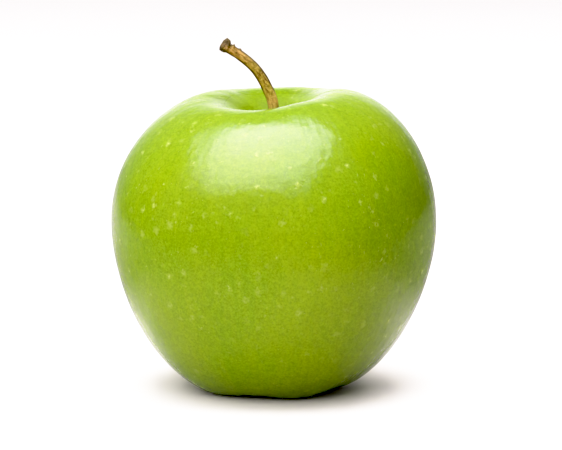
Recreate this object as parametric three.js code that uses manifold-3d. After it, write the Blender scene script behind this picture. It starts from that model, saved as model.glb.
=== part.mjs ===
// A green apple as picked: the fruit, its stem, and the dried calyx in the basin underneath.
// Millimetres, +Z up. The origin is on the surface that the apple stands on, under the middle
// of the fruit, and -Y is the side that the stem is seen from as it bends to the left.

import * as THREE from "three";
import { mergeVertices } from "three/addons/utils/BufferGeometryUtils.js";
import Module from "manifold-3d";

const wasm = await Module();
wasm.setup();

const fruit = {
  radius: 39.6, // at the widest ring
  widestHeight: 41.35,
  crestHeight: 71.9, // the rim round the stem cavity
  crestRadius: 16.5,
  footRadius: 14.9, // the ring of lobes that it stands on
  footHeight: 0.22, // that ring's mean height: the lobes reach down from it
  basinDepth: 8, // the hollow round the calyx
  cavityDepth: 12.5, // the hollow round the stem
  lowerRound: 9.9, // how far the foot runs out before it turns up
  lowerFullness: 22.1,
  upperFullness: 19.15,
  shoulderRound: 8.4,
  meridianSteps: 14, // for each of the meridian's four curves
  sides: 65, // a multiple of the lobes, so that all five have the same faces
};

const lobes = {
  count: 5,
  phase: -67.85, // degrees, the middle of one lobe and one of the sides' edges
  unevenness: 0.25, // above the foot the lobes are larger on one side
  unevenSide: 40,
  rise: 0.12, // of the rim
  drop: 0.42, // of the foot
  swell: 0.015, // of the sides, as a share of the radius
  ovalness: 0.01,
  ovalSide: 138,
};

// The rim round the stem cavity isn't level: it leans, it is higher on two opposite sides, and
// it has one broad dip.
const rim = {
  leanRight: 0.036, // slopes
  leanBack: 0.047,
  sag: 0.64,
  highSide: -15, // degrees, and again half a turn on
  dipSide: -157,
  dipWidth: 58,
  dipDepth: 0.97,
};

const pucker = { count: 10, height: 0.3, inner: 2.5, outer: 8.5 }; // pleats round the calyx

const stem = {
  rootRadius: 1.5,
  waistRadius: 1.22,
  knobRadius: 1.74,
  gap: 0.35, // between the stem and its socket
  socketDepth: 2.6,
  sides: 18,
  steps: 64,
};

const calyx = {
  sepals: 5,
  sepalLength: 5.5,
  sepalWidth: 3,
  thickness: 0.7,
  ringRadius: 2.1, // where the sepals stand
  ringHeight: 1.1,
  drop: 0.75, // the ring hangs this far under the basin's ceiling
  lean: 0, // degrees between a sepal's root and the axis
  curl: 85, // degrees that a sepal turns outwards along its length
  stamens: 7,
  stamenLength: 2.6,
  stamenRadius: 0.32,
};

const cavityFloor = fruit.crestHeight - fruit.cavityDepth;
const socketFloor = cavityFloor - stem.socketDepth;
const socketRadius = stem.rootRadius + stem.gap;
const radians = THREE.MathUtils.degToRad;

// 0 before the first edge, 1 past the second, and smooth between them.
const ramp = (from, to, x) => THREE.MathUtils.smoothstep(x, from, to);

// Half of the fruit's section, from the basin's ceiling down, out, up and into the stem's socket.
function meridian() {
  const f = fruit;
  const path = new THREE.Path();
  path.moveTo(0, f.basinDepth);
  path.bezierCurveTo(
    0.46 * f.footRadius, f.basinDepth,
    0.58 * f.footRadius, f.footHeight,
    f.footRadius, f.footHeight,
  );
  path.bezierCurveTo(
    f.footRadius + f.lowerRound, f.footHeight,
    f.radius, f.widestHeight - f.lowerFullness,
    f.radius, f.widestHeight,
  );
  path.bezierCurveTo(
    f.radius, f.widestHeight + f.upperFullness,
    f.crestRadius + f.shoulderRound, f.crestHeight,
    f.crestRadius, f.crestHeight,
  );
  path.bezierCurveTo(
    0.55 * f.crestRadius, f.crestHeight,
    socketRadius + 1.8, f.crestHeight - 0.45 * f.cavityDepth,
    socketRadius, cavityFloor,
  );
  path.lineTo(socketRadius, socketFloor);
  path.lineTo(0, socketFloor);
  return path.getPoints(f.meridianSteps);
}

// Moves a point of the plain round fruit to where the lobes and the rim's own slopes put it.
function grow(point) {
  const f = fruit;
  const angle = Math.atan2(point.y, point.x);
  const reach = Math.hypot(point.x, point.y);
  const height = point.z;

  const wave = Math.cos(lobes.count * (angle - radians(lobes.phase)));
  const lobe = wave * (1 + lobes.unevenness * Math.cos(angle - radians(lobes.unevenSide)));
  const away = Math.atan2(
    Math.sin(angle - radians(rim.dipSide)),
    Math.cos(angle - radians(rim.dipSide)),
  );
  const dip = Math.exp(-((away / radians(rim.dipWidth)) ** 2));
  const sag = rim.sag * Math.cos(2 * (angle - radians(rim.highSide)));

  const clearOfSocket = ramp(3, 13, reach);
  const onRim = ramp(0.72 * f.crestHeight, 0.98 * f.crestHeight, height) * clearOfSocket;
  const onFoot = (1 - ramp(0, 18, height)) * ramp(4, 13, reach);
  const onSide = Math.sin(Math.PI * THREE.MathUtils.clamp(height / f.crestHeight, 0, 1));
  const onUpperHalf = ramp(0.5 * f.crestHeight, 0.95 * f.crestHeight, height);
  const inBasin =
    ramp(pucker.inner, pucker.inner + 2, reach) *
    (1 - ramp(pucker.inner + 2, pucker.outer, reach)) *
    (height < f.basinDepth + 1 ? 1 : 0);

  const oval = lobes.ovalness * Math.cos(2 * (angle - radians(lobes.ovalSide)));
  const spread = 1 + (lobes.swell * lobe + oval) * onSide;
  point.x *= spread;
  point.y *= spread;
  point.z +=
    (lobes.rise * lobe + sag - rim.dipDepth * dip) * onRim -
    lobes.drop * wave * onFoot +
    (rim.leanRight * point.x + rim.leanBack * point.y) * onUpperHalf -
    pucker.height * (0.5 + 0.5 * Math.cos(pucker.count * angle)) * inBasin;
  point.z = Math.max(point.z, 0); // each lobe is flat where it carries the apple
}

function fruitGeometry() {
  const geometry = new THREE.LatheGeometry(meridian(), fruit.sides).rotateX(Math.PI / 2);
  const position = geometry.getAttribute("position");
  const point = new THREE.Vector3();
  for (let i = 0; i < position.count; i++) {
    grow(point.fromBufferAttribute(position, i));
    position.setXYZ(i, point.x, point.y, point.z);
  }
  geometry.computeVertexNormals();
  return geometry;
}

// The stem's middle line: straight up out of the socket, then over to the left.
const stemLine = new THREE.CatmullRomCurve3([
  new THREE.Vector3(0, 0, socketFloor + stem.gap),
  new THREE.Vector3(-0.1, 0.1, 64),
  new THREE.Vector3(-0.55, 0.2, 70),
  new THREE.Vector3(-1.7, 0.1, 74.4),
  new THREE.Vector3(-3.85, 0, 78.3),
  new THREE.Vector3(-7.2, -0.2, 81.3),
  new THREE.Vector3(-12.1, -0.7, 84.4),
]);

// The stem's radius at a share of its length: a swollen root, a slim waist and a flared knob.
function stemRadius(share) {
  const root = (stem.rootRadius - stem.waistRadius) * (1 - ramp(0, 0.22, share));
  const shoulder = 0.12 * ramp(0.25, 0.5, share) * (1 - ramp(0.5, 0.8, share));
  const knob = (stem.knobRadius - stem.waistRadius) * ramp(0.935, 0.958, share);
  return stem.waistRadius + root + shoulder + knob;
}

// Ridges along the stem, two old bract scars on its upper side, and a ragged knob.
function stemRelief(share, angle) {
  const ridges = 0.05 * Math.cos(5 * angle + 3 * share) + 0.035 * Math.cos(3 * angle - 5 * share);
  const scars =
    0.3 * Math.exp(-(((share - 0.915) / 0.014) ** 2)) * ramp(0.2, 1, Math.cos(angle - 0.3)) +
    0.24 * Math.exp(-(((share - 0.86) / 0.016) ** 2)) * ramp(0.3, 1, Math.cos(angle + 0.4));
  const ragged =
    ramp(0.93, 0.96, share) *
    (0.08 * Math.cos(angle) + 0.07 * Math.cos(3 * angle + 1) + 0.04 * Math.cos(7 * angle));
  return 1 + ridges + scars + ragged;
}

function stemGeometry() {
  const length = stemLine.getLength();
  const profile = [new THREE.Vector2(0, 0)];
  for (let i = 0; i <= stem.steps; i++) {
    const share = i / stem.steps;
    const tipRound = 0.45 * ramp(0.985, 1, share);
    const rootRound = 0.3 * (1 - ramp(0, 0.02, share));
    profile.push(new THREE.Vector2(stemRadius(share) * (1 - tipRound - rootRound), share * length));
  }
  profile.push(new THREE.Vector2(0, 0.994 * length)); // the scar in the knob's end is hollowed a little

  const geometry = new THREE.LatheGeometry(profile, stem.sides);
  const position = geometry.getAttribute("position");
  const across = new THREE.Vector3();
  const upper = new THREE.Vector3();
  for (let i = 0; i < position.count; i++) {
    const share = THREE.MathUtils.clamp(position.getY(i) / length, 0, 1);
    const angle = Math.atan2(position.getZ(i), position.getX(i));
    const reach = Math.hypot(position.getX(i), position.getZ(i)) * stemRelief(share, angle);
    const along = stemLine.getTangentAt(share);
    across.set(0, -1, 0).addScaledVector(along, along.y).normalize();
    upper.crossVectors(along, across);
    const point = stemLine
      .getPointAt(share)
      .addScaledVector(upper, reach * Math.cos(angle))
      .addScaledVector(across, reach * Math.sin(angle));
    position.setXYZ(i, point.x, point.y, point.z);
  }
  geometry.computeVertexNormals();
  return geometry;
}

function toSolid(geometry) {
  const plain = geometry.index ? geometry.toNonIndexed() : geometry;
  const bare = new THREE.BufferGeometry();
  bare.setAttribute("position", plain.getAttribute("position"));
  const merged = mergeVertices(bare, 1e-4);
  return new wasm.Manifold(
    new wasm.Mesh({
      numProp: 3,
      vertProperties: merged.getAttribute("position").array,
      triVerts: new Uint32Array(merged.index.array),
    }),
  );
}

function toGeometry(solid) {
  const { vertProperties, triVerts } = solid.getMesh();
  const geometry = new THREE.BufferGeometry();
  geometry.setAttribute("position", new THREE.BufferAttribute(vertProperties, 3));
  geometry.setIndex(new THREE.BufferAttribute(triVerts, 1));
  const flat = geometry.toNonIndexed();
  flat.computeVertexNormals();
  return flat;
}

// One sepal, from its root on the ring: a pointed blade that hangs down and curls outwards.
function sepalGeometry() {
  const c = calyx;
  const half = c.sepalWidth / 2;
  const outline = new THREE.Shape();
  outline.moveTo(-0.75 * half, 0);
  outline.bezierCurveTo(
    -1.25 * half, 0.35 * c.sepalLength,
    -0.5 * half, 0.75 * c.sepalLength,
    0, c.sepalLength,
  );
  outline.bezierCurveTo(
    0.5 * half, 0.75 * c.sepalLength,
    1.25 * half, 0.35 * c.sepalLength,
    0.75 * half, 0,
  );
  outline.closePath();
  const blade = new THREE.ExtrudeGeometry(outline, {
    depth: c.thickness,
    bevelEnabled: false,
    curveSegments: 8,
  });
  const position = blade.getAttribute("position");
  const bend = radians(c.curl) / c.sepalLength;
  for (let i = 0; i < position.count; i++) {
    const across = -position.getX(i);
    const along = position.getY(i);
    const outer = position.getZ(i) - c.thickness;
    const heading = radians(c.lean) + bend * along;
    const turn = 1 / bend;
    const out = turn * (Math.cos(radians(c.lean)) - Math.cos(heading));
    const down = turn * (Math.sin(heading) - Math.sin(radians(c.lean)));
    position.setXYZ(
      i,
      c.ringRadius + out + outer * Math.cos(heading),
      across,
      -down + outer * Math.sin(heading),
    );
  }
  return blade;
}

// The calyx hangs from the basin's ceiling: a ring, five dried sepals and a tuft of stamens.
function calyxGeometry() {
  const c = calyx;
  const ring = new THREE.CylinderGeometry(c.ringRadius + 0.5, c.ringRadius + 0.2, c.ringHeight, 24);
  let body = toSolid(ring.rotateX(Math.PI / 2).translate(0, 0, -c.ringHeight / 2));
  for (let i = 0; i < c.sepals; i++) {
    const turn = ((i + 0.5) * 2 * Math.PI) / c.sepals;
    const blade = sepalGeometry().rotateZ(turn).translate(0, 0, -0.35 * c.ringHeight);
    body = body.add(toSolid(blade));
  }
  for (let i = 0; i < c.stamens; i++) {
    const turn = (i * 2 * Math.PI) / c.stamens;
    const filament = new THREE.CylinderGeometry(c.stamenRadius, 0.6 * c.stamenRadius, c.stamenLength, 6)
      .rotateX(Math.PI / 2)
      .translate(0, 0, -0.5 * c.stamenLength)
      .rotateY(radians(i % 2 ? 9 : 16))
      .translate(0.9, 0, -0.7 * c.ringHeight)
      .rotateZ(turn);
    body = body.add(toSolid(filament));
  }
  return toGeometry(body);
}

function named(name, geometry, look) {
  const mesh = new THREE.Mesh(geometry, new THREE.MeshStandardMaterial(look));
  mesh.name = name;
  return mesh;
}

const apple = new THREE.Group();
apple.add(
  named("fruit", fruitGeometry(), { color: 0x9fc41e, roughness: 0.3, metalness: 0 }),
  named("stem", stemGeometry(), { color: 0x8a6430, roughness: 0.8, metalness: 0 }),
);
const dried = named("calyx", calyxGeometry(), { color: 0x5e4a2c, roughness: 0.9, metalness: 0 });
dried.position.z = fruit.basinDepth - calyx.drop;
apple.add(dried);

// The lobes are uneven, so the finished fruit's own middle is brought over the origin.
const middle = new THREE.Box3().setFromObject(apple, true).getCenter(new THREE.Vector3());
apple.position.set(-middle.x, -middle.y, 0);

const part = new THREE.Group();
part.add(apple);

export default part;
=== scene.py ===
import math

import bmesh
import bpy
from mathutils import Matrix, Vector, noise
from mathutils.geometry import interpolate_bezier


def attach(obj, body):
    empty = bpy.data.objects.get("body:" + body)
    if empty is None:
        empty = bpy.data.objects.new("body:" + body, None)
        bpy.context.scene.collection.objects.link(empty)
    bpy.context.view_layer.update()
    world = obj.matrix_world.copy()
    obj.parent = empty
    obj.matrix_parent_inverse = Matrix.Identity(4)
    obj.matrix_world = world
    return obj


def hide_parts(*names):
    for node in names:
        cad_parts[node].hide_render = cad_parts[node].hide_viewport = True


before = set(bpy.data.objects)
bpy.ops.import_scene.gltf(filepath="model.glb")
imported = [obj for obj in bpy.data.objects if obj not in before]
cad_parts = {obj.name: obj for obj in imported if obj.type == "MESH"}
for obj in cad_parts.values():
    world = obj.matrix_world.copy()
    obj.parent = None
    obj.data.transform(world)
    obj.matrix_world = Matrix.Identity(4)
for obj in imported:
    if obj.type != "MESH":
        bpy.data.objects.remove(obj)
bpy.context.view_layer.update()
print("frame loaded")

mm = 0.001


def ramp(start, end, x):  # 0 before start, 1 past end, smooth between them
    t = min(max((x - start) / (end - start), 0.0), 1.0)
    return t * t * (3 - 2 * t)


def swell(x, middle, width):  # a smooth hump, 1 at its middle
    return math.exp(-(((x - middle) / width) ** 2))


def finishMesh(bm, name, material, smooth=True):
    bmesh.ops.recalc_face_normals(bm, faces=bm.faces)
    for face in bm.faces:
        face.smooth = smooth
    mesh = bpy.data.meshes.new(name)
    bm.to_mesh(mesh)
    bm.free()
    mesh.materials.append(material)
    piece = bpy.data.objects.new(name, mesh)
    bpy.context.scene.collection.objects.link(piece)
    return piece


def joinInto(bm, part):  # adds a finished part to a bmesh
    mesh = bpy.data.meshes.new("part")
    part.to_mesh(mesh)
    part.free()
    bm.from_mesh(mesh)
    bpy.data.meshes.remove(mesh)


def spinProfile(bm, points, steps):  # turns a half section, given as radius and height, once round Z
    verts = [bm.verts.new((x, 0, z)) for x, z in points]
    edges = [bm.edges.new(pair) for pair in zip(verts, verts[1:])]
    bmesh.ops.spin(
        bm,
        geom=verts + edges,
        cent=(0, 0, 0),
        axis=(0, 0, 1),
        dvec=(0, 0, 0),
        angle=2 * math.pi,
        steps=steps,
        use_merge=True,
        use_duplicate=False,
    )
    bmesh.ops.remove_doubles(bm, verts=bm.verts, dist=1e-5)


def newMaterial(name):
    material = bpy.data.materials.new(name)
    material.use_nodes = True
    tree = material.node_tree
    return material, tree, tree.nodes["Principled BSDF"]


def addNode(tree, kind, values=None, **settings):
    node = tree.nodes.new(kind)
    for key, value in settings.items():
        setattr(node, key, value)
    for socket, value in (values or {}).items():
        if isinstance(value, bpy.types.NodeSocket):
            tree.links.new(value, node.inputs[socket])
        else:
            node.inputs[socket].default_value = value
    return node


def calc(tree, operation, a, b=0.0, c=0.0):
    return addNode(tree, "ShaderNodeMath", {0: a, 1: b, 2: c}, operation=operation).outputs[0]


def product(tree, *values):
    total = values[0]
    for value in values[1:]:
        total = calc(tree, "MULTIPLY", total, value)
    return total


def vectorCalc(tree, operation, a, b):
    return addNode(tree, "ShaderNodeVectorMath", {0: a, 1: b}, operation=operation).outputs["Vector"]


def remap(tree, value, fromMin, fromMax, toMin=0.0, toMax=1.0, smooth=True):
    node = addNode(
        tree,
        "ShaderNodeMapRange",
        {"Value": value, "From Min": fromMin, "From Max": fromMax, "To Min": toMin, "To Max": toMax},
        interpolation_type="SMOOTHSTEP" if smooth else "LINEAR",
    )
    return node.outputs["Result"]


def blendColor(tree, factor, a, b, mode="MIX"):
    node = addNode(tree, "ShaderNodeMix", data_type="RGBA", blend_type=mode, clamp_factor=True)
    for socket, value in ((node.inputs[0], factor), (node.inputs[6], a), (node.inputs[7], b)):
        if isinstance(value, bpy.types.NodeSocket):
            tree.links.new(value, socket)
        elif isinstance(value, tuple):
            socket.default_value = (*value, 1)
        else:
            socket.default_value = value
    return node.outputs[2]


def noiseValue(tree, vector, scale, detail=2.0, roughness=0.5):
    values = {"Vector": vector, "Scale": scale, "Detail": detail, "Roughness": roughness}
    return addNode(tree, "ShaderNodeTexNoise", values).outputs["Fac"]


def cells(tree, vector, scale):  # distance to the nearest cell's middle, and two greys of that cell's own
    node = addNode(tree, "ShaderNodeTexVoronoi", {"Vector": vector, "Scale": scale, "Randomness": 1.0})
    split = addNode(tree, "ShaderNodeSeparateColor", {"Color": node.outputs["Color"]})
    return node.outputs["Distance"], split.outputs[0], split.outputs[1]


def attribute(tree, name, output="Fac"):
    return addNode(tree, "ShaderNodeAttribute", attribute_name=name).outputs[output]


def addBump(tree, shader, height, strength, distance):
    bump = addNode(tree, "ShaderNodeBump", {"Strength": strength, "Distance": distance, "Height": height})
    tree.links.new(bump.outputs["Normal"], shader.inputs["Normal"])


# the fruit

fruit = {  # lengths in mm, turns in degrees
    "radius": 39.6,
    "widestHeight": 41.35,
    "crestHeight": 71.9,
    "crestRadius": 16.5,
    "footRadius": 14.9,
    "footHeight": 0.22,
    "basinDepth": 8.0,
    "basinCeiling": 0.46,  # shares of the foot's radius
    "basinFlare": 0.58,
    "cavityDepth": 12.5,
    "cavityRound": 0.55,  # share of the crest's radius
    "throatFlare": 1.8,
    "throatDrop": 0.45,  # share of the cavity's depth
    "lowerRound": 9.9,
    "lowerFullness": 22.1,
    "upperFullness": 19.15,
    "shoulderRound": 8.4,
    "socketRadius": 1.85,
    "socketDepth": 2.6,
    "meridianSteps": 42,  # for each of the four curves
    "turnSteps": 240,
    "lobeCount": 5,
    "lobePhase": -67.85,
    "lobeUnevenness": 0.25,
    "lobeUnevenSide": 40,
    "rimRise": 0.12,
    "rimBand": (0.72, 0.98),  # shares of the crest's height
    "rimReach": (3, 13),  # distances from the core
    "footDrop": 0.42,
    "footTop": 18,
    "footReach": (4, 13),
    "sideSwell": 0.015,
    "ovalness": 0.01,
    "ovalSide": 138,
    "leanBand": (0.5, 0.95),
    "rimLeanRight": 0.036,  # slopes
    "rimLeanBack": 0.047,
    "rimSag": 0.64,  # the rim is higher on two opposite sides
    "rimHighSide": -15,
    "dipSide": -157,  # and has one broad dip
    "dipWidth": 58,
    "dipDepth": 0.97,
    "puckerCount": 10,
    "puckerHeight": 0.3,
    "puckerRise": (2.5, 4.5),
    "puckerFall": (4.5, 8.5),
    "hollowReach": (3, 17),  # where the hollows' own colours fade out
    "basinReach": (3, 14),
    "waveHeight": 0.16,  # broad, shallow unevenness of the flesh
    "waveSize": 15.0,
    "ribSpread": 1.9,
    "ribRise": 0.012,
    "ribScale": 2.2,
    "rippleHeight": 0.03,
    "rippleSize": 4.5,
    "waveAboveFoot": (0.3, 6),  # where the unevenness sets in
    "waveInHollows": (3, 9),
    "waveRoundSocket": (2.5, 6),
}


def fruitMeridian():
    f = fruit
    foot, side, crest = f["footRadius"], f["radius"], f["crestRadius"]
    low, middle, top = f["footHeight"], f["widestHeight"], f["crestHeight"]
    ceiling, socket = f["basinDepth"], f["socketRadius"]
    throat = top - f["cavityDepth"]
    curves = [
        [(0, ceiling), (f["basinCeiling"] * foot, ceiling), (f["basinFlare"] * foot, low), (foot, low)],
        [(foot, low), (foot + f["lowerRound"], low), (side, middle - f["lowerFullness"]), (side, middle)],
        [(side, middle), (side, middle + f["upperFullness"]),
         (crest + f["shoulderRound"], top), (crest, top)],
        [(crest, top), (f["cavityRound"] * crest, top),
         (socket + f["throatFlare"], top - f["throatDrop"] * f["cavityDepth"]), (socket, throat)],
    ]
    points = []
    for curve in curves:
        knots = [Vector(knot) for knot in curve]
        stretch = interpolate_bezier(*knots, f["meridianSteps"])
        points += [tuple(p) for p in (stretch[1:] if points else stretch)]
    socketFloor = throat - f["socketDepth"]
    return points + [(socket, socketFloor), (0, socketFloor)]


def growFruit(point):  # takes a point of the plain round fruit to its place on the lobed one
    f = fruit
    x, y, height = point
    top = f["crestHeight"]
    angle, reach = math.atan2(y, x), math.hypot(x, y)
    wave = math.cos(f["lobeCount"] * (angle - math.radians(f["lobePhase"])))
    lobe = wave * (1 + f["lobeUnevenness"] * math.cos(angle - math.radians(f["lobeUnevenSide"])))
    away = (math.degrees(angle) - f["dipSide"] + 180) % 360 - 180
    dip = f["dipDepth"] * swell(away, 0, f["dipWidth"])
    sag = f["rimSag"] * math.cos(2 * (angle - math.radians(f["rimHighSide"])))

    onRim = ramp(*[share * top for share in f["rimBand"]], height) * ramp(*f["rimReach"], reach)
    onFoot = (1 - ramp(0, f["footTop"], height)) * ramp(*f["footReach"], reach)
    onSide = math.sin(math.pi * min(max(height / top, 0), 1))
    onUpperHalf = ramp(*[share * top for share in f["leanBand"]], height)
    inBasin = 0
    if height < f["basinDepth"] + 1:
        inBasin = ramp(*f["puckerRise"], reach) * (1 - ramp(*f["puckerFall"], reach))

    oval = f["ovalness"] * math.cos(2 * (angle - math.radians(f["ovalSide"])))
    spread = 1 + (f["sideSwell"] * lobe + oval) * onSide
    x, y = x * spread, y * spread
    z = height
    z += (f["rimRise"] * lobe + sag - dip) * onRim
    z -= f["footDrop"] * wave * onFoot
    z += (f["rimLeanRight"] * x + f["rimLeanBack"] * y) * onUpperHalf
    z -= f["puckerHeight"] * (0.5 + 0.5 * math.cos(f["puckerCount"] * angle)) * inBasin
    return Vector((x, y, max(z, 0.0)))


def fleshWave(point):  # how far the skin stands out at a point, in mm
    f = fruit
    angle = math.atan2(point.y, point.x)
    broad = noise.noise(point / f["waveSize"])
    broad += 0.5 * noise.noise(point / (0.45 * f["waveSize"]) + Vector((7, 3, 1)))
    spread = f["ribSpread"]
    ribPlace = Vector((spread * math.cos(angle) + 5, spread * math.sin(angle), f["ribRise"] * point.z))
    ribs = noise.noise(ribPlace * f["ribScale"])
    fine = noise.noise(point / f["rippleSize"] + Vector((2, 9, 4)))
    return f["waveHeight"] * (0.7 * broad + 0.6 * ribs) + f["rippleHeight"] * fine


def buildFruit(material):
    f = fruit
    bm = bmesh.new()
    spinProfile(bm, fruitMeridian(), f["turnSteps"])
    hollow = bm.verts.layers.float.new("stemHollow")
    basin = bm.verts.layers.float.new("calyxHollow")
    low = Vector((1e9, 1e9, 1e9))
    high = -low
    for vert in bm.verts:
        reach = math.hypot(vert.co.x, vert.co.y)
        if vert.co.z > f["widestHeight"]:
            vert[hollow] = 1 - ramp(*f["hollowReach"], reach)
        if vert.co.z < f["basinDepth"] + 1:
            vert[basin] = 1 - ramp(*f["basinReach"], reach)
        vert.co = growFruit(vert.co)
        low = Vector(map(min, low, vert.co))
        high = Vector(map(max, high, vert.co))
    bmesh.ops.recalc_face_normals(bm, faces=bm.faces)
    bm.normal_update()
    moves = []
    for vert in bm.verts:
        reach = math.hypot(vert.co.x, vert.co.y)
        nearCore = reach <= f["waveInHollows"][1]
        clearOfEnds = ramp(*f["waveInHollows"], reach) if nearCore else ramp(*f["waveAboveFoot"], vert.co.z)
        clearOfSocket = ramp(*f["waveRoundSocket"], reach) if vert.co.z > f["widestHeight"] else 1.0
        moves.append(vert.normal * (fleshWave(vert.co) * clearOfEnds * clearOfSocket))
    for vert, move in zip(bm.verts, moves):
        vert.co += move
    middle = (low + high) / 2
    shift = Vector((-middle.x, -middle.y, 0))
    bmesh.ops.translate(bm, verts=bm.verts, vec=shift)
    bmesh.ops.scale(bm, verts=bm.verts, vec=(mm, mm, mm))
    return finishMesh(bm, "appleFlesh", material), shift


skin = {  # relief heights in mm, other lengths and places in metres, and scales to the metre
    "green": (0.120, 0.202, 0.0095),
    "yellowGreen": (0.157, 0.224, 0.0105),
    "hollowGreen": (0.165, 0.235, 0.012),
    "hollowShare": 0.7,
    "basinGreen": (0.166, 0.212, 0.022),
    "basinShare": 0.6,
    "streakSpread": 24,
    "streakRise": 130.0,
    "streakShare": 0.4,
    "broadScale": 34.0,
    "mottleScale": 700.0,
    "mottleTone": (0.90, 1.12),
    "grainScale": 2000.0,
    "grainTone": (0.82, 1.20),
    "paintedShadeSide": 0.72,  # painted shade: one side is painted a deeper green, as the foot and one shoulder are
    "sideShift": 0.012,
    "sideLean": -0.4,
    "sideBand": (0.002, 0.032),
    # painted shade towards the foot, and the body above it painted a little lighter
    "paintedShadeFoot": 0.87,
    "paintedLightAboveFoot": 1.03,
    "footBand": (0.004, 0.050),
    # painted shade on the upper right shoulder
    "paintedShadeShoulder": 0.86,
    "shoulderOut": (0.028, 0.037),
    "shoulderUp": (0.038, 0.050),
    # painted shade on the stem hollow and its rim
    "paintedShadeRim": 0.88,
    "roughness": 0.18,
    "roughnessScale": 160.0,
    "roughnessVaries": (-0.02, 0.03),
    "coreRoughness": 0.12,
    "hollowRoughness": 0.3,
    "ior": 1.42,
    "shine": 0.13,
    "rimShine": 0.26,
    "hollowShine": 0.02,
    "dullShift": 0.001,
    "dullOut": (0.004, 0.0085),  # the wall behind the stem is dull this far to each side
    "dullBack": (0.002, 0.007),
    "subsurface": 0.10,
    "subsurfaceRadius": (0.8, 1.0, 0.1),
    "subsurfaceScale": 0.0022,
    "peelScale": 560.0,
    "peelHeight": 0.045,
    "ribHeight": 0.055,
    "dimpleScale": 380.0,
    "dimpleHeight": 0.12,
    "lenticelHeight": 0.035,
    "lenticels": {  # scales are cells to the metre, and reaches are shares of a cell
        "pale": (0.330, 0.390, 0.075),
        "scale": 330.0,
        "size": (0.35, 1.1),
        "reach": 0.42,
        "strength": (0.12, 0.50),
        "coreReach": (0.01, 0.12),
        "coreCells": (0.55, 0.75),  # the second grey at which a lenticel gets a small hard core
        "coreStrength": 0.70,
        "fineScale": 800.0,
        "fineSize": (0.05, 1.0),
        "fineReach": 0.26,
        "fineStrength": 0.42,
        "raggedScale": 1100.0,
        "raggedPush": 0.0020,
        "heightBand": (0.010, 0.060),  # there are few at the foot and more towards the shoulders
        "heightStrength": (0.45, 1.35),
        "clusterScale": 55.0,
        "clusterStrength": (0.7, 1.15),
    },
}


def meridianPattern(tree, x, y, z):  # a place for patterns that run from stem to calyx, with no seam
    flat = addNode(tree, "ShaderNodeCombineXYZ", {0: x, 1: y}).outputs[0]
    unit = addNode(tree, "ShaderNodeVectorMath", {0: flat}, operation="NORMALIZE").outputs["Vector"]
    turned = vectorCalc(tree, "MULTIPLY", unit, (skin["streakSpread"],) * 3)
    lifted = addNode(tree, "ShaderNodeCombineXYZ", {2: product(tree, z, skin["streakRise"])}).outputs[0]
    return vectorCalc(tree, "ADD", turned, lifted)


def skinGreens(tree, place, streakPlace, stemHollow, calyxHollow):
    s = skin
    streaks = remap(tree, noiseValue(tree, streakPlace, 1.0, 3.0, 0.6), 0.3, 0.7)
    broad = remap(tree, noiseValue(tree, place, s["broadScale"]), 0.3, 0.7)
    broad = product(tree, broad, 1 - s["streakShare"])
    tone = calc(tree, "ADD", broad, product(tree, streaks, s["streakShare"]))
    color = blendColor(tree, tone, s["green"], s["yellowGreen"])
    color = blendColor(tree, product(tree, stemHollow, s["hollowShare"]), color, s["hollowGreen"])
    return blendColor(tree, product(tree, calyxHollow, s["basinShare"]), color, s["basinGreen"])


def skinGrainAndShade(tree, place, x, z, stemHollow):  # light and dark of the green: mottling, and painted shade on one side, one shoulder, the foot and the stem hollow
    s = skin
    mottle = noiseValue(tree, place, s["mottleScale"], 3.0, 0.65)
    mottle = remap(tree, mottle, 0.25, 0.75, *s["mottleTone"], smooth=False)
    fine = noiseValue(tree, place, s["grainScale"], 2.0, 0.7)
    fine = remap(tree, fine, 0.28, 0.72, *s["grainTone"], smooth=False)
    # painted shade, darkest at the lower right side
    side = calc(tree, "MULTIPLY_ADD", z, s["sideLean"], calc(tree, "ADD", x, s["sideShift"]))
    side = remap(tree, side, *s["sideBand"], 1.0, s["paintedShadeSide"])
    # painted shade towards the foot, and the body above it painted a little lighter
    foot = remap(tree, z, *s["footBand"], s["paintedShadeFoot"], s["paintedLightAboveFoot"])
    # painted shade on the upper right shoulder
    shoulder = product(tree, remap(tree, x, *s["shoulderOut"]), remap(tree, z, *s["shoulderUp"]))
    shoulder = remap(tree, shoulder, 0.0, 1.0, 1.0, s["paintedShadeShoulder"], smooth=False)
    # painted shade on the stem hollow and its rim
    rim = remap(tree, stemHollow, 0.0, 0.2, 1.0, s["paintedShadeRim"])
    grain = product(tree, mottle, fine, side, foot, shoulder, rim)
    return addNode(tree, "ShaderNodeCombineXYZ", {0: grain, 1: grain, 2: grain}).outputs[0]


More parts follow.
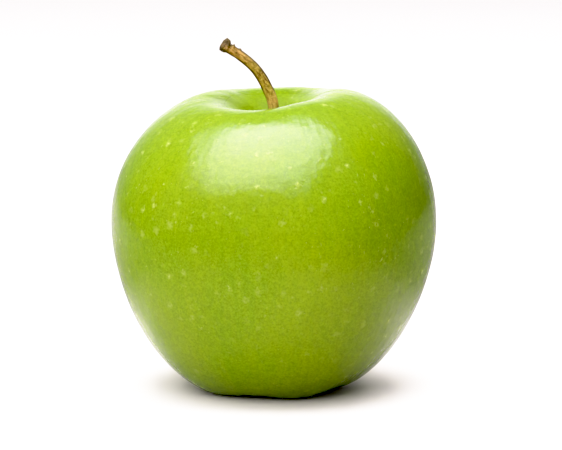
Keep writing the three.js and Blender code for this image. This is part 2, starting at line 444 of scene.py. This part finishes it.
def lenticelSpots(tree, place, z):  # soft, ragged ones of many sizes, some with a core, and fine ones between
    s = skin["lenticels"]
    push = addNode(tree, "ShaderNodeTexNoise", {"Vector": place, "Scale": s["raggedScale"], "Detail": 1.0})
    push = vectorCalc(tree, "SUBTRACT", push.outputs["Color"], (0.5, 0.5, 0.5))
    push = addNode(tree, "ShaderNodeVectorMath", {0: push, "Scale": s["raggedPush"]}, operation="SCALE")
    ragged = vectorCalc(tree, "ADD", place, push.outputs["Vector"])

    distance, grey, second = cells(tree, ragged, s["scale"])
    reach = calc(tree, "DIVIDE", distance, remap(tree, grey, 0.10, 1.0, *s["size"], smooth=False))
    halo = remap(tree, reach, 0.0, s["reach"], 1.0, 0.0)
    core = product(tree, remap(tree, reach, *s["coreReach"], 1.0, 0.0), remap(tree, second, *s["coreCells"]))
    distance, grey = cells(tree, ragged, s["fineScale"])[:2]
    reach = calc(tree, "DIVIDE", distance, remap(tree, grey, 0.3, 1.0, *s["fineSize"], smooth=False))
    fine = remap(tree, reach, 0.0, s["fineReach"], 1.0, 0.0)

    spots = product(tree, halo, remap(tree, second, 0.0, 1.0, *s["strength"], smooth=False))
    spots = calc(tree, "ADD", spots, product(tree, core, s["coreStrength"]))
    spots = calc(tree, "MAXIMUM", spots, product(tree, fine, s["fineStrength"]))
    clusters = noiseValue(tree, place, s["clusterScale"], 1.0)
    clusters = remap(tree, clusters, 0.35, 0.6, *s["clusterStrength"])
    spots = product(tree, spots, remap(tree, z, *s["heightBand"], *s["heightStrength"]), clusters)
    return spots, halo, core


def skinRoughness(tree, place, stemHollow, core):
    low, high = [skin["roughness"] + change for change in skin["roughnessVaries"]]
    roughness = remap(tree, noiseValue(tree, place, skin["roughnessScale"], 3.0), 0.3, 0.7, low, high)
    roughness = calc(tree, "ADD", roughness, product(tree, core, skin["coreRoughness"]))
    return calc(tree, "ADD", roughness, remap(tree, stemHollow, 0.20, 0.65, 0.0, skin["hollowRoughness"]))


def skinShine(tree, x, y, stemHollow):  # the rim shines most, except behind the stem
    s = skin
    aside = calc(tree, "ABSOLUTE", calc(tree, "ADD", x, s["dullShift"]))
    behind = product(tree, remap(tree, aside, *s["dullOut"], 1.0, 0.0), remap(tree, y, *s["dullBack"]))
    rimShine = remap(tree, behind, 0.0, 1.0, s["rimShine"], s["hollowShine"], smooth=False)
    shine = remap(tree, stemHollow, 0.01, 0.12, s["shine"], rimShine)
    return remap(tree, stemHollow, 0.45, 0.80, shine, s["hollowShine"])


def skinRelief(tree, place, streakPlace, halo, core):  # the peel's dimples, and ribs along the streaks
    s = skin
    peel = calc(tree, "ADD", noiseValue(tree, place, s["peelScale"]), product(tree, core, 0.5))
    layers = (
        (peel, s["peelHeight"]),
        (noiseValue(tree, streakPlace, 0.9, 1.0), s["ribHeight"]),
        (noiseValue(tree, place, s["dimpleScale"], 1.0), s["dimpleHeight"]),
        (halo, s["lenticelHeight"]),
    )
    height = 0.0
    for layer, layerHeight in layers:
        height = calc(tree, "ADD", height, product(tree, layer, layerHeight))
    return height


def skinMaterial():
    material, tree, shader = newMaterial("appleSkin")
    place = addNode(tree, "ShaderNodeTexCoord").outputs["Object"]
    x, y, z = addNode(tree, "ShaderNodeSeparateXYZ", {0: place}).outputs
    streakPlace = meridianPattern(tree, x, y, z)
    stemHollow = attribute(tree, "stemHollow")
    calyxHollow = attribute(tree, "calyxHollow")
    spots, halo, core = lenticelSpots(tree, place, z)

    color = skinGreens(tree, place, streakPlace, stemHollow, calyxHollow)
    color = blendColor(tree, 1.0, color, skinGrainAndShade(tree, place, x, z, stemHollow), "MULTIPLY")
    color = blendColor(tree, spots, color, skin["lenticels"]["pale"])
    tree.links.new(color, shader.inputs["Base Color"])
    tree.links.new(skinRoughness(tree, place, stemHollow, core), shader.inputs["Roughness"])
    tree.links.new(skinShine(tree, x, y, stemHollow), shader.inputs["Specular IOR Level"])
    addBump(tree, shader, skinRelief(tree, place, streakPlace, halo, core), strength=1.0, distance=mm)

    shader.inputs["IOR"].default_value = skin["ior"]
    shader.inputs["Subsurface Weight"].default_value = skin["subsurface"]
    shader.inputs["Subsurface Radius"].default_value = skin["subsurfaceRadius"]
    shader.inputs["Subsurface Scale"].default_value = skin["subsurfaceScale"]
    return material


flesh, fruitShift = buildFruit(skinMaterial())
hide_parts("fruit")
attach(flesh, "root")
print("fruit built:", len(flesh.data.polygons), "faces, moved by", tuple(round(v, 3) for v in fruitShift))


# the stem

stem = {  # lengths in mm, turns in radians, and places along the stem as shares of its length
    "line": [(0, 0, 57.15), (0.3, 0.1, 64), (0.3, 0.2, 70), (-1.4, 0.1, 74.4),
             (-3.85, 0, 78.3), (-7.2, -0.2, 81.3), (-12.1, -0.7, 84.4)],
    "curveSteps": 60,  # between two points of the line
    "rootRadius": 1.5,
    "rootEnd": 0.22,
    "waistRadius": 1.22,
    "bulge": 0.12,
    "bulgeRise": (0.25, 0.5),
    "bulgeFall": (0.5, 0.8),
    "knobRadius": 1.74,
    "knobRise": (0.935, 0.958),
    "tipHollow": [(0.6, 0.99), (0.3, 0.985), (0, 0.984)],  # radius and place
    "ridges": [(0.04, 5, 3), (0.03, 3, -5)],  # share of the radius, count and twist
    "crustAround": 1.6,
    "crustAlong": 0.35,
    "crust": [(0.05, 1.7), (0.025, 5)],  # share of the radius and scale
    "scars": [  # the marks of two bracts
        {"size": 0.38, "place": 0.915, "width": 0.008, "turn": 0.3, "edge": 0.2},
        {"size": 0.28, "place": 0.86, "width": 0.009, "turn": -0.4, "edge": 0.3},
    ],
    "raggedRise": (0.93, 0.955),
    "ringSteps": 72,
    "alongSteps": 300,
    "bark": {  # scales to the metre, and the relief in metres
        "colors": [  # from the root to the tip, each with its share of the length
            (0.34, (0.34, 0.29, 0.05)),
            (0.40, (0.56, 0.32, 0.09)),
            (0.47, (0.43, 0.30, 0.055)),
            (0.55, (0.36, 0.25, 0.035)),
            (0.72, (0.28, 0.19, 0.03)),
            (0.88, (0.36, 0.19, 0.045)),
            (0.95, (0.32, 0.19, 0.05)),
            (0.970, (0.11, 0.06, 0.015)),
            (0.99, (0.020, 0.012, 0.003)),
        ],
        "furrow": (0.095, 0.045, 0.004),
        "moss": (0.12, 0.09, 0.008),
        "speck": (0.74, 0.52, 0.16),
        # painted shade on the stem's edges seen from the front
        "paintedShadeEdges": (0.040, 0.026, 0.002),
        "lowerHalf": (0.42, 0.56),  # where the clean lower half passes into the worn upper one
        "tip": (0.92, 0.96),
        "fibreStretch": 0.16,
        "fibreScale": 3200.0,
        "patchScale": 900.0,
        "speckScale": 3800.0,
        "roughness": (0.6, 0.85),
        "specular": 0.12,
        "relief": 0.00012,
    },
}


def stemPath():  # evenly spaced places along the stem's middle line, with its directions
    line = [Vector(p) for p in stem["line"]]
    line = [2 * line[0] - line[1]] + line + [2 * line[-1] - line[-2]]
    dense = []
    for before, start, end, after in zip(line, line[1:], line[2:], line[3:]):
        ahead, span, past = [(b - a).length ** 0.5 for a, b in ((before, start), (start, end), (end, after))]
        leave = (start - before) / ahead - (end - before) / (ahead + span) + (end - start) / span
        arrive = (end - start) / span - (after - start) / (span + past) + (after - end) / past
        handles = (start + leave * span / 3, end - arrive * span / 3)
        stretch = interpolate_bezier(start, *handles, end, stem["curveSteps"])
        dense += stretch[1:] if dense else stretch
    lengths = [0.0]
    for a, b in zip(dense, dense[1:]):
        lengths.append(lengths[-1] + (b - a).length)
    places = []
    i = 0
    steps = stem["alongSteps"]
    for step in range(steps + 1):
        want = lengths[-1] * step / steps
        while i < len(dense) - 2 and lengths[i + 1] < want:
            i += 1
        t = (want - lengths[i]) / (lengths[i + 1] - lengths[i])
        places.append((dense[i].lerp(dense[i + 1], t), (dense[i + 1] - dense[i]).normalized()))
    return places, lengths[-1]


def stemRadius(share):
    waist = stem["waistRadius"]
    root = (stem["rootRadius"] - waist) * (1 - ramp(0, stem["rootEnd"], share))
    bulge = stem["bulge"] * ramp(*stem["bulgeRise"], share) * (1 - ramp(*stem["bulgeFall"], share))
    knob = (stem["knobRadius"] - waist) * ramp(*stem["knobRise"], share)
    return waist + root + bulge + knob


def stemRelief(share, angle, length):  # share of the radius that bark, scars and the ragged knob add
    ridges = sum(size * math.cos(count * angle + twist * share) for size, count, twist in stem["ridges"])
    around, along = stem["crustAround"], stem["crustAlong"] * share * length
    crustPlace = Vector((around * math.cos(angle), around * math.sin(angle), along))
    crust = sum(size * noise.noise(crustPlace * scale) for size, scale in stem["crust"])
    scars = 0
    for scar in stem["scars"]:
        onUpperSide = ramp(scar["edge"], 1, math.cos(angle - scar["turn"]))
        scars += scar["size"] * swell(share, scar["place"], scar["width"]) * onUpperSide
    ragged = 0.08 * math.cos(angle) + 0.07 * math.cos(3 * angle + 1) + 0.04 * math.cos(7 * angle)
    ragged += 0.16 * noise.noise(Vector((2.6 * math.cos(angle), 2.6 * math.sin(angle), 40 * share)))
    return 1 + ridges + crust + scars + ragged * ramp(*stem["raggedRise"], share)


def buildStem(material):
    places, length = stemPath()
    steps = stem["alongSteps"]
    profile = [(0, 0)]
    for i in range(steps + 1):
        share = i / steps
        tipRound = 0.40 * ramp(0.985, 1, share)
        rootRound = 0.3 * (1 - ramp(0, 0.02, share))
        profile.append((stemRadius(share) * (1 - tipRound - rootRound), share * length))
    profile += [(radius, share * length) for radius, share in stem["tipHollow"]]
    bm = bmesh.new()
    spinProfile(bm, profile, stem["ringSteps"])
    along = bm.verts.layers.float.new("along")
    bark = bm.verts.layers.float_vector.new("barkPlace")
    for vert in bm.verts:
        x, y, z = vert.co
        share = min(max(z / length, 0), 1)
        angle = math.atan2(y, x)
        reach = math.hypot(x, y) * stemRelief(share, angle, length)
        spot, direction = places[min(round(share * steps), steps)]
        across = (Vector((0, -1, 0)) - direction * -direction.y).normalized()
        upper = direction.cross(across)
        vert[along] = share
        vert[bark] = Vector((math.cos(angle), math.sin(angle), z)) * mm
        vert.co = spot + upper * (reach * math.cos(angle)) + across * (reach * math.sin(angle))
    bmesh.ops.translate(bm, verts=bm.verts, vec=fruitShift)
    bmesh.ops.scale(bm, verts=bm.verts, vec=(mm, mm, mm))
    return finishMesh(bm, "appleStem", material)


def barkColors(tree, along):
    colors = stem["bark"]["colors"]
    ramped = addNode(tree, "ShaderNodeValToRGB", {"Fac": along})
    stops = ramped.color_ramp.elements
    for stop, (position, color) in zip(stops, (colors[0], colors[-1])):
        stop.position = position
        stop.color = (*color, 1)
    for position, color in colors[1:-1]:
        stops.new(position).color = (*color, 1)
    return ramped.outputs["Color"]


def stemMaterial():
    b = stem["bark"]
    material, tree, shader = newMaterial("stemBark")
    along = attribute(tree, "along")
    place = attribute(tree, "barkPlace", "Vector")
    stretch = (1.0, 1.0, b["fibreStretch"])
    stretched = addNode(tree, "ShaderNodeMapping", {"Vector": place, "Scale": stretch}).outputs[0]
    fibres = noiseValue(tree, stretched, b["fibreScale"], 4.0, 0.6)
    patches = noiseValue(tree, place, b["patchScale"], 3.0, 0.6)
    specks = noiseValue(tree, place, b["speckScale"], 2.0, 0.6)

    worn = remap(tree, along, *b["lowerHalf"], 0.45, 1.0)
    furrows = product(tree, remap(tree, fibres, 0.44, 0.62), worn)
    color = blendColor(tree, furrows, barkColors(tree, along), b["furrow"])
    moss = product(tree, remap(tree, patches, 0.50, 0.66, 0.0, 0.7), worn)
    color = blendColor(tree, moss, color, b["moss"])
    pale = product(tree, remap(tree, specks, 0.56, 0.68), remap(tree, along, 0.45, 0.60, 0.55, 0.50))
    color = blendColor(tree, pale, color, b["speck"])
    # painted shade: the upper and under sides, which are the stem's edges seen from the front, are painted
    # dark, more so towards the knob, and a paler band runs between them
    edge = calc(tree, "ABSOLUTE", addNode(tree, "ShaderNodeSeparateXYZ", {0: place}).outputs[0])
    edge = calc(tree, "ADD", product(tree, edge, 1000.0), product(tree, fibres, 0.5))
    edge = calc(tree, "ADD", edge, remap(tree, along, *b["lowerHalf"], -0.3, 0.0))
    edge = calc(tree, "ADD", edge, remap(tree, along, *b["tip"], 0.0, 0.36))
    color = blendColor(tree, remap(tree, edge, 0.80, 1.08, 0.0, 0.92), color, b["paintedShadeEdges"])
    tree.links.new(color, shader.inputs["Base Color"])
    tree.links.new(remap(tree, patches, 0.3, 0.7, *b["roughness"]), shader.inputs["Roughness"])
    height = calc(tree, "ADD", product(tree, fibres, 0.7), product(tree, specks, 0.3))
    addBump(tree, shader, height, strength=0.9, distance=b["relief"])
    shader.inputs["Specular IOR Level"].default_value = b["specular"]
    return material


stalk = buildStem(stemMaterial())
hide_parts("stem")
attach(stalk, "root")
print("stem built:", len(stalk.data.polygons), "faces")


# the calyx

calyx = {  # mm and degrees
    "hang": 7.25,  # height of the ring's top
    "ringRadius": 2.1,
    "ringHeight": 1.1,
    "ringSteps": 48,
    "sepals": 5,
    "sepalLength": 5.5,
    "sepalWidth": 3.0,
    "sepalThickness": 0.22,
    "sepalAcross": 12,
    "sepalAlong": 26,
    "narrowest": 0.05,
    "curl": 85,
    "curlVaries": 22,
    "cup": 0.28,
    "crumple": 0.12,
    "twist": 0.35,
    "stamens": 9,
    "stamenLength": 2.4,
    "stamenVaries": 0.5,
    "stamenRoot": 0.15,
    "stamenTip": 0.1,
    "stamenOut": 1.0,
    "stamenLean": 12,
    "headRadius": 0.26,
    "brown": (0.10, 0.06, 0.022),
    "straw": (0.26, 0.18, 0.075),
    "vein": (0.045, 0.028, 0.014),
    "patchScale": 700.0,  # to the metre
    "veinScale": 2600.0,
    "specular": 0.3,
    "relief": 0.0001,  # metres
}


def makeSepal(i):  # a pointed, cupped blade that hangs down from the ring and curls outwards
    c = calyx
    blade = bmesh.new()
    bmesh.ops.create_grid(blade, x_segments=c["sepalAcross"], y_segments=c["sepalAlong"], size=0.5)
    curl = math.radians(c["curl"] + c["curlVaries"] * math.sin(2.1 * i + 1))
    bend = curl / c["sepalLength"]
    for vert in blade.verts:
        across, along = 2 * vert.co.x, vert.co.y + 0.5  # -1 to 1, and 0 at the root
        fullness = 0.75 + 0.35 * math.sin(math.pi * min(along * 1.3, 1))
        width = max(0.5 * c["sepalWidth"] * fullness * (1 - along ** 2.2), c["narrowest"])
        reach = along * c["sepalLength"]
        heading = bend * reach
        cup = c["cup"] * across * across * (1 - 0.4 * along)
        cup += c["crumple"] * math.sin(5 * along + 2 * i) * across
        twist = c["twist"] * math.sin(1.7 * i) * along
        outward = c["ringRadius"] + (1 - math.cos(heading)) / bend - cup * math.cos(heading)
        down = math.sin(heading) / bend + cup * math.sin(heading) * 0.5
        vert.co = Vector((outward, across * width + twist * reach * 0.3, -down - 0.35 * c["ringHeight"]))
    bmesh.ops.solidify(blade, geom=blade.faces[:], thickness=c["sepalThickness"])
    turn = 2 * math.pi * (i + 0.5) / c["sepals"]
    bmesh.ops.rotate(blade, verts=blade.verts, cent=(0, 0, 0), matrix=Matrix.Rotation(turn, 3, "Z"))
    bmesh.ops.recalc_face_normals(blade, faces=blade.faces)
    return blade


def makeStamen(i):  # a bent thread with a small head
    c = calyx
    thread = bmesh.new()
    length = c["stamenLength"] + c["stamenVaries"] * math.sin(2 * i)
    bmesh.ops.create_cone(thread, cap_ends=True, segments=8, radius1=c["stamenRoot"], radius2=c["stamenTip"],
                          depth=length, matrix=Matrix.Translation((0, 0, length / 2)))
    longEdges = [e for e in thread.edges if abs(e.verts[0].co.z - e.verts[1].co.z) > 1]
    bmesh.ops.subdivide_edges(thread, edges=longEdges, cuts=6)
    headPlace = Matrix.Translation((0, 0, length)) @ Matrix.Diagonal((1, 0.8, 1.3, 1))
    bmesh.ops.create_icosphere(thread, subdivisions=2, radius=c["headRadius"], matrix=headPlace)
    for vert in thread.verts:
        vert.co.x += 0.12 * vert.co.z ** 2 * math.sin(i + 1)
        vert.co.y += 0.06 * vert.co.z ** 2 * math.cos(2 * i)
    turn = 2 * math.pi * (i + 0.3 * math.sin(3 * i)) / c["stamens"]
    place = (Matrix.Rotation(turn, 4, "Z") @ Matrix.Translation((c["stamenOut"], 0, -0.7 * c["ringHeight"]))
             @ Matrix.Rotation(math.radians(180 - c["stamenLean"]), 4, "Y"))
    bmesh.ops.transform(thread, matrix=place, verts=thread.verts)
    return thread


def buildCalyx(material):
    c = calyx
    bm = bmesh.new()
    r, h = c["ringRadius"], c["ringHeight"]
    spinProfile(bm, [(0, 0), (r + 0.3, -0.02), (r + 0.5, -0.3), (r + 0.2, -h), (r - 0.5, -h - 0.1),
                     (r - 0.9, -h + 0.25), (0, -h + 0.3)], c["ringSteps"])
    for i in range(c["sepals"]):
        joinInto(bm, makeSepal(i))
    for i in range(c["stamens"]):
        joinInto(bm, makeStamen(i))
    bmesh.ops.translate(bm, verts=bm.verts, vec=fruitShift + Vector((0, 0, c["hang"])))
    bmesh.ops.scale(bm, verts=bm.verts, vec=(mm, mm, mm))
    return finishMesh(bm, "appleCalyx", material)


def calyxMaterial():
    material, tree, shader = newMaterial("driedCalyx")
    place = addNode(tree, "ShaderNodeTexCoord").outputs["Object"]
    patches = noiseValue(tree, place, calyx["patchScale"], 4.0, 0.6)
    veins = noiseValue(tree, place, calyx["veinScale"], 3.0, 0.6)
    color = blendColor(tree, remap(tree, patches, 0.35, 0.65), calyx["brown"], calyx["straw"])
    color = blendColor(tree, remap(tree, veins, 0.55, 0.75, 0.0, 0.7), color, calyx["vein"])
    tree.links.new(color, shader.inputs["Base Color"])
    tree.links.new(remap(tree, veins, 0.3, 0.7, 0.75, 0.95), shader.inputs["Roughness"])
    addBump(tree, shader, veins, strength=0.8, distance=calyx["relief"])
    shader.inputs["Specular IOR Level"].default_value = calyx["specular"]
    return material


driedCalyx = buildCalyx(calyxMaterial())
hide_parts("calyx")
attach(driedCalyx, "root")
print("calyx built:", len(driedCalyx.data.polygons), "faces")


# the floor

floorPlan = {  # metres; a dark value is the share of the floor's light that the skin's reflection of it lacks
    "radius": 3.0,
    "color": (0.940, 0.855, 0.870),
    "roughness": 0.9,
    "specular": 0.1,
    "nearDark": 0.02,  # round the foot
    "nearFront": 0.07,
    "nearBack": 0.035,
    "frontToBack": (-0.01, 0.03),
    "nearFade": 0.08,
    "middleDark": 0.72,
    "farFade": (0.15, 0.24),
    "farDarkLeft": 0.52,
    "farDarkRight": 0.66,
    "leftToRight": (-0.16, -0.05),
    "frontDark": 0.95,  # the lit part of the floor ends along a curve in front of the fruit
    "frontEdge": -0.131,
    "frontCurve": 2.2,
    "frontFade": (-0.05, 0.035),
}


def mirroredDark(tree, place):
    p = floorPlan
    x, y = addNode(tree, "ShaderNodeSeparateXYZ", {0: place}).outputs[:2]
    away = addNode(tree, "ShaderNodeVectorMath", {0: place}, operation="LENGTH").outputs["Value"]
    nearest = remap(tree, y, *p["frontToBack"], p["nearFront"], p["nearBack"])
    fadeEnd = calc(tree, "ADD", nearest, p["nearFade"])
    dark = remap(tree, away, nearest, fadeEnd, p["nearDark"], p["middleDark"])
    farDark = remap(tree, x, *p["leftToRight"], p["farDarkLeft"], p["farDarkRight"])
    dark = remap(tree, away, *p["farFade"], dark, farDark)
    ahead = calc(tree, "SUBTRACT", y, product(tree, x, x, p["frontCurve"]))
    ahead = calc(tree, "SUBTRACT", ahead, p["frontEdge"])
    return calc(tree, "MAXIMUM", dark, remap(tree, ahead, *p["frontFade"], p["frontDark"], 0.0))


def buildFloor():
    bm = bmesh.new()
    bmesh.ops.create_circle(bm, cap_ends=True, radius=floorPlan["radius"], segments=128)
    material, tree, shader = newMaterial("floorWhite")
    place = addNode(tree, "ShaderNodeTexCoord").outputs["Object"]
    mirrored = addNode(tree, "ShaderNodeLightPath").outputs["Is Glossy Ray"]
    dark = product(tree, mirroredDark(tree, place), mirrored)
    tree.links.new(blendColor(tree, dark, floorPlan["color"], (0.0, 0.0, 0.0)), shader.inputs["Base Color"])
    shader.inputs["Roughness"].default_value = floorPlan["roughness"]
    shader.inputs["Specular IOR Level"].default_value = floorPlan["specular"]
    floor = finishMesh(bm, "floor", material, smooth=False)


# the light

walls = {  # how bright the room is by direction, as the skin mirrors it; X to the right, Y back, Z up
    "back": 2.0,
    "high": 0.5,
    "backToHigh": (0.35, 0.60),
    "left": 0.42,
    "right": 0.31,
    "leftToRight": (-0.3, 0.3),
    "backToSides": (0.06, 0.50),
    "flank": 0.10,
    "sidesToFlank": (0.62, 0.80),
    "front": 1.2,
    "frontToFlank": (-0.1, 0.1),
    "flankToBack": (0.25, 0.45),
    "seen": 1.7,  # and as the camera sees it
}

fill = {  # light that comes in low, mostly from behind and a little from the left
    "back": 5.9,
    "front": 0.8,
    "frontToBack": (-0.1, 0.1),
    "side": -0.16,
    "levelShare": 0.6,
    "rise": (0.0, 0.15),
    "fall": (0.15, 0.5),
}


def mirroredRoom(tree, x, y, z):
    sides = remap(tree, x, *walls["leftToRight"], walls["left"], walls["right"])
    away = calc(tree, "ABSOLUTE", x)
    wall = remap(tree, z, *walls["backToHigh"], walls["back"], walls["high"])
    wall = remap(tree, away, *walls["backToSides"], wall, sides)
    wall = remap(tree, away, *walls["sidesToFlank"], wall, walls["flank"])
    room = remap(tree, y, *walls["frontToFlank"], walls["front"], walls["flank"])
    return remap(tree, y, *walls["flankToBack"], room, wall)


def fillLight(tree, x, y, z):
    level = calc(tree, "SQRT", calc(tree, "SUBTRACT", 1.0, product(tree, z, z)))
    facing = calc(tree, "MULTIPLY_ADD", x, fill["side"], y)
    facing = calc(tree, "DIVIDE", facing, calc(tree, "MAXIMUM", level, 0.001))
    rising = remap(tree, z, *fill["rise"], fill["levelShare"], 1.0)
    heightShare = remap(tree, z, *fill["fall"], rising, 0.0)
    strength = remap(tree, facing, *fill["frontToBack"], fill["front"], fill["back"])
    return product(tree, product(tree, facing, facing), heightShare, strength)


def buildWorld():
    world = bpy.data.worlds.new("studioWorld")
    bpy.context.scene.world = world
    world.use_nodes = True
    tree = world.node_tree
    background = tree.nodes["Background"]
    direction = addNode(tree, "ShaderNodeTexCoord").outputs["Generated"]
    x, y, z = addNode(tree, "ShaderNodeSeparateXYZ", {0: direction}).outputs
    rays = addNode(tree, "ShaderNodeLightPath").outputs
    strength = product(tree, mirroredRoom(tree, x, y, z), rays["Is Glossy Ray"])
    strength = calc(tree, "ADD", strength, product(tree, fillLight(tree, x, y, z), rays["Is Diffuse Ray"]))
    strength = calc(tree, "ADD", strength, product(tree, rays["Is Camera Ray"], walls["seen"]))
    tree.links.new(strength, background.inputs["Strength"])
    background.inputs["Color"].default_value = (1, 1, 1, 1)


lamps = [  # place and size in metres, turn in degrees, power in watts
    {"name": "softbox", "place": (-0.075, -0.119, 0.578), "turn": (21.9, -8.0, -19.0), "size": (0.745, 0.79),
     "power": 77.5, "color": (0.885, 0.865, 1.08), "gloss": True},
    {"name": "overhead", "place": (-0.2, 0.6, 1.5), "turn": (9.5, 7.6, 0), "size": (2.6, 2.2),
     "power": 50},
    {"name": "near", "place": (-0.31, -0.60, 0.68), "turn": (40.1, -25.8, 0), "size": (0.9, 0.9),
     "power": 11},
    {"name": "top", "place": (0.0, 0.0, 0.9), "turn": (0, 0, 0), "size": (0.7, 0.7),
     "power": 11.4},
    {"name": "lift", "place": (0.0, 0.0, 1.0), "turn": (0, 0, 0), "size": (0.7, 0.7),
     "power": 0.85, "color": (1.0, 0.70, 0.22), "shadow": False},
]

softboxFade = {  # share of the full light along each side of the softbox
    "across": [(0.0, 0.0), (0.057, 0.24), (0.124, 0.31), (0.162, 0.42), (0.20, 0.82), (0.40, 1.0),
               (0.59, 0.97), (0.745, 0.83), (0.82, 0.68), (0.90, 0.56), (0.955, 0.47), (1.0, 0.25)],
    "along": [(0.0, 0.08), (0.06, 0.26), (0.13, 0.48), (0.20, 0.64), (0.32, 0.80), (0.50, 0.95),
              (0.62, 1.0), (0.79, 0.98), (0.86, 0.78), (0.92, 0.48), (0.97, 0.22), (1.0, 0.06)],
}


def fadeSoftbox(light):
    light.use_nodes = True
    tree = light.node_tree
    onLamp = addNode(tree, "ShaderNodeNewGeometry").outputs["Parametric"]
    spot = addNode(tree, "ShaderNodeSeparateXYZ", {0: onLamp})
    shares = []
    for value, stops in zip(spot.outputs[:2], softboxFade.values()):
        fade = addNode(tree, "ShaderNodeFloatCurve", {"Value": value})
        points = fade.mapping.curves[0].points
        points[0].location = stops[0]
        points[1].location = stops[-1]
        for stop in stops[1:-1]:
            points.new(*stop)
        fade.mapping.update()
        shares.append(fade.outputs["Value"])
    tree.links.new(product(tree, *shares), tree.nodes["Emission"].inputs["Strength"])


def buildLamps():  # the softbox lights reflections alone, and the others light everything but reflections
    for lamp in lamps:
        data = bpy.data.lights.new(lamp["name"], "AREA")
        data.shape = "RECTANGLE"
        data.size, data.size_y = lamp["size"]
        data.energy = lamp["power"]
        data.color = lamp.get("color", (1, 1, 1))
        data.use_shadow = lamp.get("shadow", True)
        light = bpy.data.objects.new(lamp["name"], data)
        bpy.context.scene.collection.objects.link(light)
        light.location = lamp["place"]
        light.rotation_euler = [math.radians(angle) for angle in lamp["turn"]]
        mirrored = lamp.get("gloss", False)
        light.visible_glossy = mirrored
        light.visible_diffuse = not mirrored
        if mirrored:
            fadeSoftbox(data)


# the camera

view = {  # metres and degrees, and the lens in mm
    "distance": 0.7,
    "elevation": 8.4,
    "lens": 183.4,
    "sensor": 36,
    "aim": (0.00176, 0.0, 0.040),
    "black": 0.03,
    "white": 1.5,
    "tones": [(0.30, 0.43), (0.46, 0.645), (0.60, 0.81), (0.80, 0.95)],
}


def buildCamera():
    tilt = math.radians(view["elevation"])
    data = bpy.data.cameras.new("camera")
    data.lens = view["lens"]
    data.sensor_width = view["sensor"]
    camera = bpy.data.objects.new("camera", data)
    bpy.context.scene.collection.objects.link(camera)
    forward = Vector((0, math.cos(tilt), -math.sin(tilt)))
    camera.location = Vector(view["aim"]) - forward * view["distance"]
    camera.rotation_euler = forward.to_track_quat("-Z", "Y").to_euler()
    bpy.context.scene.camera = camera


def setTones():
    settings = bpy.context.scene.view_settings
    settings.view_transform = "Standard"
    settings.look = "None"
    settings.exposure = 0
    settings.gamma = 1
    settings.use_curve_mapping = True
    curves = settings.curve_mapping
    curves.black_level = (view["black"],) * 3
    curves.white_level = (view["white"],) * 3
    master = curves.curves[3]
    for point in view["tones"]:
        master.points.new(*point)
    curves.update()


buildFloor()
buildWorld()
buildLamps()
buildCamera()
setTones()
print("floor, light and camera placed")
